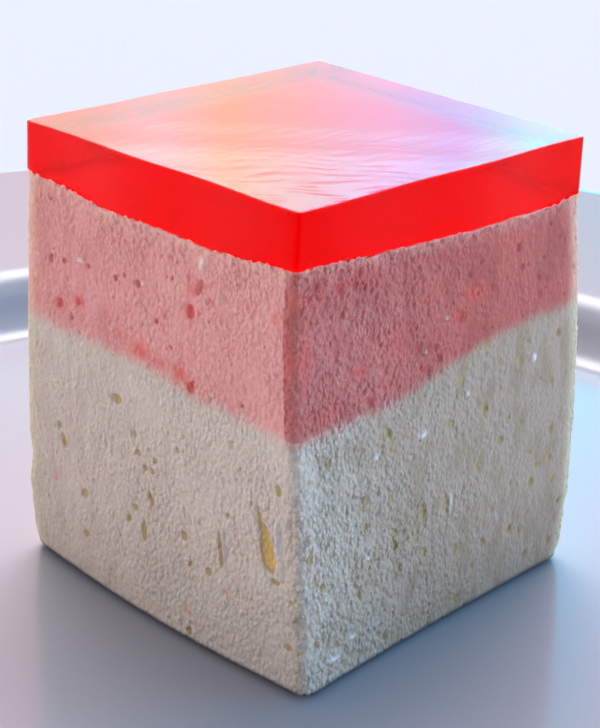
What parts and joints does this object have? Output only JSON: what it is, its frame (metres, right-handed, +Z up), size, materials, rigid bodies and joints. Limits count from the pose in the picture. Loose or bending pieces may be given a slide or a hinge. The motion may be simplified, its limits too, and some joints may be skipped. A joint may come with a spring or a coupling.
{
  "type": "layered moulded jelly",
  "caption": "Hand-cut square of layered set dessert, clear red jelly over bubbly pink and cream mousse, standing in the shallow well of a round white glazed plate with a rim.",
  "frame": {"origin": "the middle of the plate's foot ring, on the surface that the plate stands on", "axes": "+Z up out of the plate; the block's upright front edge is its corner towards -X and -Y, and its two shown faces look along -X and -Y"},
  "size_m": [0.234, 0.234, 0.0564],
  "materials": {
    "plate_glaze": "gloss",
    "cream_mousse": "matte",
    "pink_mousse": "matte",
    "red_jelly": "clear gloss"
  },
  "bodies": {
    "root": {"plate": "plate_glaze", "white_mousse": "cream_mousse", "pink_mousse": "pink_mousse", "red_jelly": "red_jelly"}
  },
  "joints": []
}
